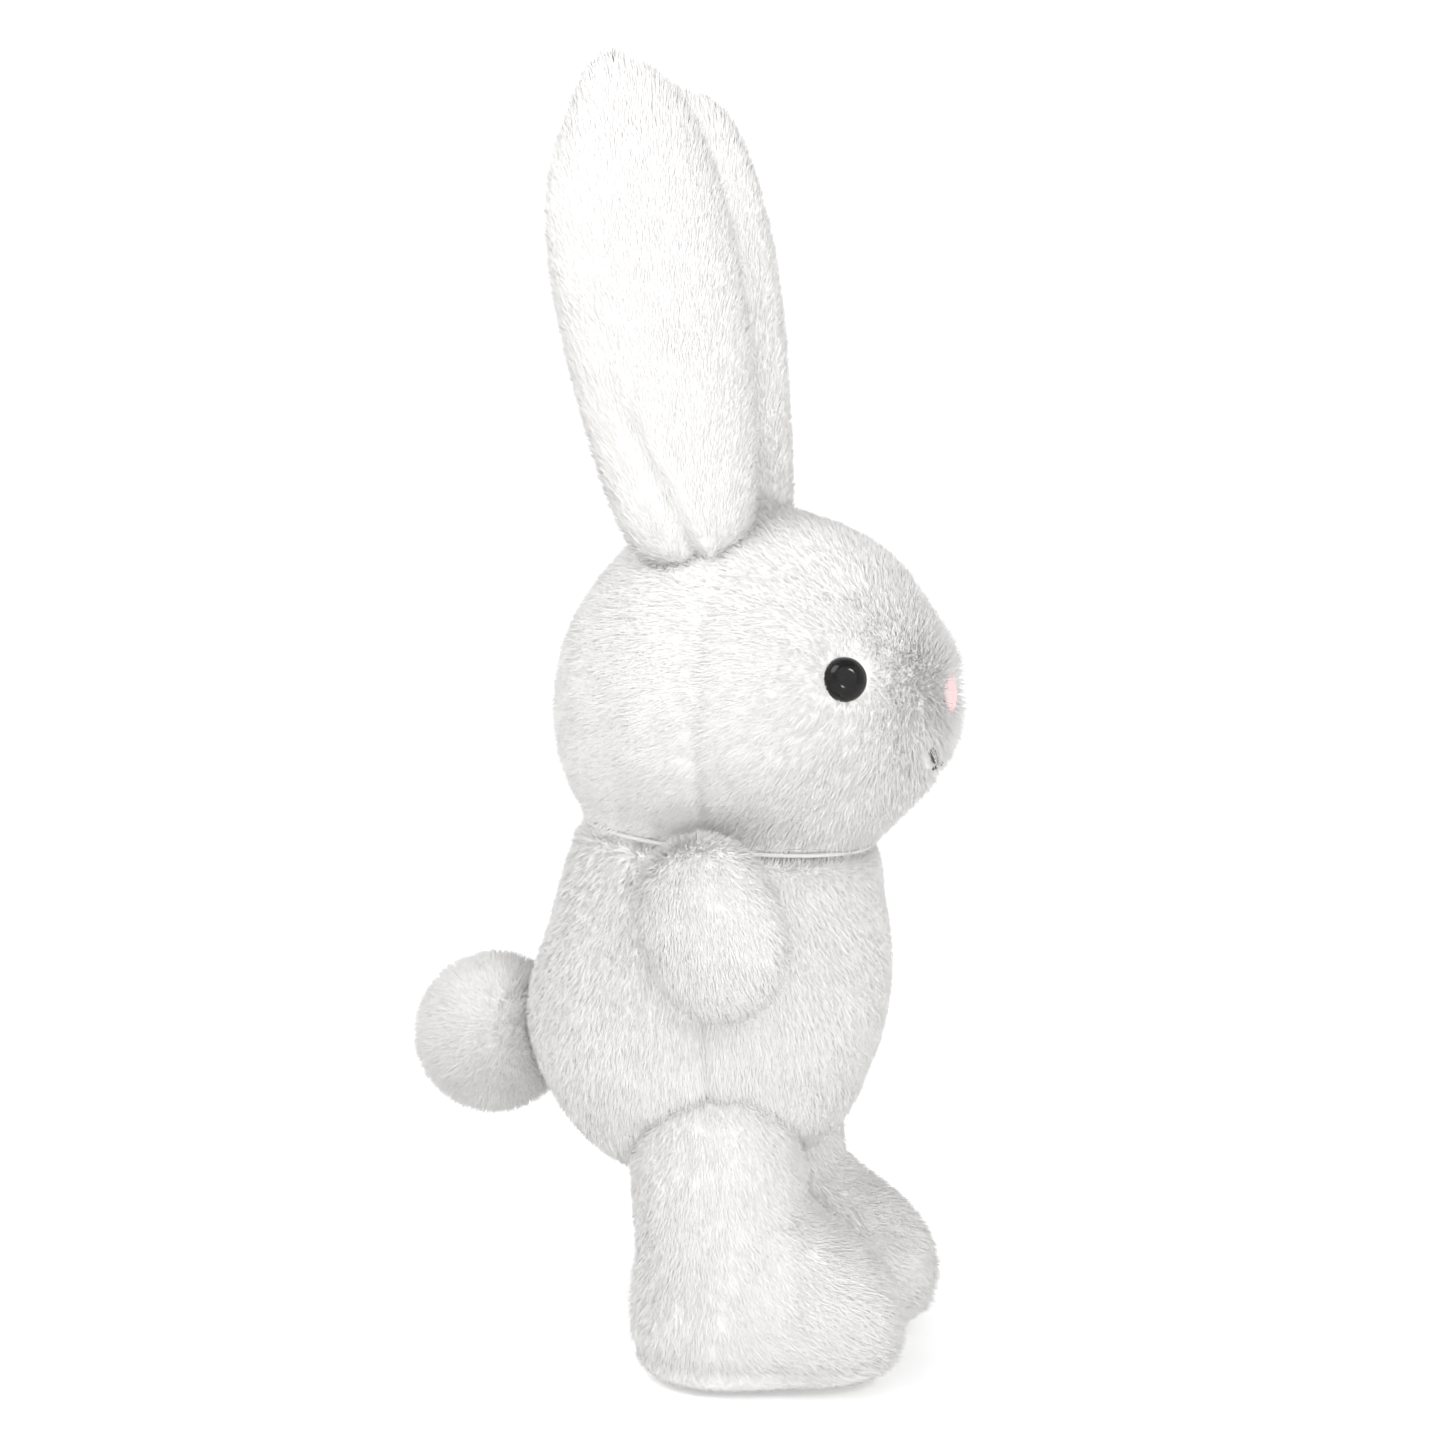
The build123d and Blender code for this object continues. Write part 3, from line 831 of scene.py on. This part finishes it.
def outer_leg(x, sign):
    """The half of a leg away from the other one, as far as the body."""
    return lambda p: ((p[:, 0] - x) * sign > 0) & (body_field(p) > -TUCKED)


def inner_leg(x, sign):
    """The half of a leg towards the other one, as far as the body."""
    return lambda p: ((p[:, 0] - x) * sign <= 0) & (body_field(p) > -TUCKED)


for side, sign in SIDES:
    hip = pivot("leg_swing_" + side)
    fillings = named(side, "leg_stuffing", "foot_board", "pellet_bag")
    middle = np.array([hip[0], hip[1] - 1.5, 22.0])
    skin = cast("leg_skin_" + side, middle, np.diag([1, 1.3, 1.4]), leg_field(hip), fillings)
    dress(skin, "leg_" + side, named(side, "leg_outer_panel", "leg_inner_panel", "sole_panel"))
    outer, inner = outer_leg(hip[0], sign), inner_leg(hip[0], sign)
    faces = (("leg_outer", outer, 51 + sign), ("leg_inner", inner, 54 + sign))
    cover_limb("leg", skin, faces, leg_length, leg_comb, side)

TAIL_PILE_LENGTH = 3.4
tail_skin = cast("tail_ball", TAIL_MIDDLE, np.eye(3), tail_field, ["tail_stuffing"])
dress(tail_skin, "tail", ["tail_skin"])


def tail_comb(p, n):
    """Away from the body."""
    return n * 0 + (0, 0.25, -0.1)


def tail_length(p):
    """Long and fluffy."""
    return np.full(len(p), TAIL_PILE_LENGTH)


cover(pile("tail_pile", tail_skin, everywhere, tail_length, tail_comb, strands("tail"), 61, rise=1.0), "tail")


# ============================== the nose and mouth ==============================
THREAD_SIDES = 6
THREAD_END = 0.45  # an end's thickness, as a share of the thread's
NOSE_THREAD_RADIUS = 0.27
MOUTH_THREAD_RADIUS = 0.42
MOUTH_TWIST = 0.28  # how far each of the mouth's three threads lies from their middle
MOUTH_LIFT = 1.6
KNOT_THREADS = 5


def threads(name, paths, radius, material):
    """One mesh of round threads along paths of points in mm."""
    points, faces = [], []
    for path in paths:
        path = np.array(path)
        along = unit(np.gradient(path, axis=0))
        across = unit(np.cross(along, (0, -1, 0.3)))
        third = np.cross(along, across)
        first = len(points)
        for i, place in enumerate(path):
            taper = THREAD_END if i in (0, len(path) - 1) else 1.0
            for k in range(THREAD_SIDES):
                turn = k * 2 * math.pi / THREAD_SIDES
                out = across[i] * math.cos(turn) + third[i] * math.sin(turn)
                points.append((place + out * radius * taper) * MM)
        for i in range(len(path) - 1):
            for k in range(THREAD_SIDES):
                a = first + i * THREAD_SIDES + k
                b = first + i * THREAD_SIDES + (k + 1) % THREAD_SIDES
                faces.append((a, b, b + THREAD_SIDES, a + THREAD_SIDES))
        faces.append(tuple(first + k for k in reversed(range(THREAD_SIDES))))
        faces.append(tuple(first + (len(path) - 1) * THREAD_SIDES + k for k in range(THREAD_SIDES)))
    mesh = bpy.data.meshes.new(name)
    mesh.from_pydata(points, [], faces)
    mesh.polygons.foreach_set("use_smooth", [True] * len(mesh.polygons))
    mesh.materials.append(material)
    obj = bpy.data.objects.new(name, mesh)
    bpy.context.collection.objects.link(obj)
    return obj


rng = np.random.default_rng(71)
nose_paths = []
for x in np.arange(-NOSE_HALF_WIDTH + 0.3, NOSE_HALF_WIDTH, 0.42):
    reach = nose_half_height(x)
    heights = np.linspace(-reach, reach, 9) + rng.uniform(-0.25, 0.25)
    rise = 0.35 + 0.8 * (1 - (heights / NOSE_HALF_HEIGHT) ** 2).clip(0) * (1 - (x / NOSE_HALF_WIDTH) ** 2)
    nose_paths.append([on_face(x, NOSE_Z + h, lift) for h, lift in zip(heights, rise)])
nose = threads("nose_stitches", nose_paths, NOSE_THREAD_RADIUS, nose_silk)
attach(nose, "head")
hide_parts("nose_embroidery")

mouth_paths = []
for strand in range(3):
    turns = np.linspace(-1, 1, 19)
    twist = turns * 9 + strand * 2 * math.pi / 3
    steps = zip(turns, MOUTH_TWIST * np.cos(twist), MOUTH_TWIST * np.sin(twist))
    mouth_paths.append([on_face(MOUTH_HALF_WIDTH * t, mouth_z(t) + a, MOUTH_LIFT + b) for t, a, b in steps])
for knot in range(KNOT_THREADS):  # the stitch that pulls the middle of the mouth in
    lean = rng.uniform(-0.5, 0.5)
    loop = [(lean * t, mouth_z(0) + 1.2 - 2.6 * t, 2.0 - 1.4 * abs(2 * t - 1)) for t in np.linspace(0, 1, 5)]
    mouth_paths.append([on_face(x, z, lift) for x, z, lift in loop])
mouth = threads("mouth_stitches", mouth_paths, MOUTH_THREAD_RADIUS, mouth_wool)
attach(mouth, "head")
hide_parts("mouth_embroidery")


# ============================== stage, lights and camera ==============================
def area_light(name, place, target, size, power):
    """A soft box, size in metres and power in watts."""
    data = bpy.data.lights.new(name, "AREA")
    data.energy = power
    data.size = size
    light = bpy.data.objects.new(name, data)
    light.location = place
    light.rotation_euler = (Vector(target) - Vector(place)).to_track_quat("-Z", "Y").to_euler()
    bpy.context.collection.objects.link(light)


def lathe(name, profile, turns=96):
    """A surface turned about the upright through the origin; profile is (radius, height) in metres."""
    angles = np.linspace(0, 2 * math.pi, turns, endpoint=False)
    rings = [[(r * math.cos(t), r * math.sin(t), z) for t in angles] for r, z in profile]
    points = [(0, 0, profile[0][1])] + [point for ring in rings for point in ring]
    faces = [(0, 1 + i, 1 + (i + 1) % turns) for i in range(turns)]
    for ring in range(len(profile) - 1):
        for i in range(turns):
            a, b = 1 + ring * turns + i, 1 + ring * turns + (i + 1) % turns
            faces.append((a, a + turns, b + turns, b))
    mesh = bpy.data.meshes.new(name)
    mesh.from_pydata(points, [], faces)
    mesh.polygons.foreach_set("use_smooth", [True] * len(mesh.polygons))
    obj = bpy.data.objects.new(name, mesh)
    bpy.context.collection.objects.link(obj)
    return obj


STUDIO_GLOW = 0.22  # keeps the floor and backdrop white in the corners
AIR_STRENGTH = 0.62
studio_white = plain("studio_white", (0.9, 0.9, 0.9), 0.9)
studio_white.node_tree.nodes["Principled BSDF"].inputs["Emission Color"].default_value = (1, 1, 1, 1)
studio_white.node_tree.nodes["Principled BSDF"].inputs["Emission Strength"].default_value = STUDIO_GLOW
STUDIO_PROFILE = [(0.5, 0), (1.2, 0), (1.6, 0.06), (1.9, 0.3), (2.05, 0.8), (2.1, 1.6), (2.1, 2.8)]
studio = lathe("studio", STUDIO_PROFILE)
studio.data.materials.append(studio_white)

world = bpy.data.worlds.new("studio_air")
bpy.context.scene.world = world
world.use_nodes = True
world.node_tree.nodes["Background"].inputs["Color"].default_value = (1, 1, 1, 1)
world.node_tree.nodes["Background"].inputs["Strength"].default_value = AIR_STRENGTH

AIM = Vector((2.2, -8.8, 149.0)) * MM
LIGHTS = (  # name, place, size and power
    ("key", (-0.75, 0.55, 1.3), 0.8, 9.4),
    ("fill", (-1.1, -0.7, 0.7), 1.2, 2.0),
    ("glint_high", (-0.62, -0.62, 0.62), 0.12, 1.8),
    ("glint_low", (-0.8, -0.36, 0.12), 0.1, 0.8),
)
for name, place, size, power in LIGHTS:
    area_light(name, place, AIM, size, power)

AZIMUTH, PITCH = math.radians(-75), math.radians(5.5)
DISTANCE = 0.6
FIELD = 0.340  # how wide the picture is at the bunny
SENSOR = 36  # mm
LEVEL = math.cos(PITCH)
direction = Vector((math.sin(AZIMUTH) * LEVEL, -math.cos(AZIMUTH) * LEVEL, math.sin(PITCH)))
lens = bpy.data.cameras.new("camera")
camera = bpy.data.objects.new("camera", lens)
camera.location = AIM + direction * DISTANCE
camera.rotation_euler = (-direction).to_track_quat("-Z", "Y").to_euler()
lens.sensor_width = SENSOR
lens.lens = SENSOR * DISTANCE / FIELD
lens.clip_start = 0.01
bpy.context.collection.objects.link(camera)
bpy.context.scene.camera = camera
bpy.context.scene.view_settings.view_transform = "Standard"
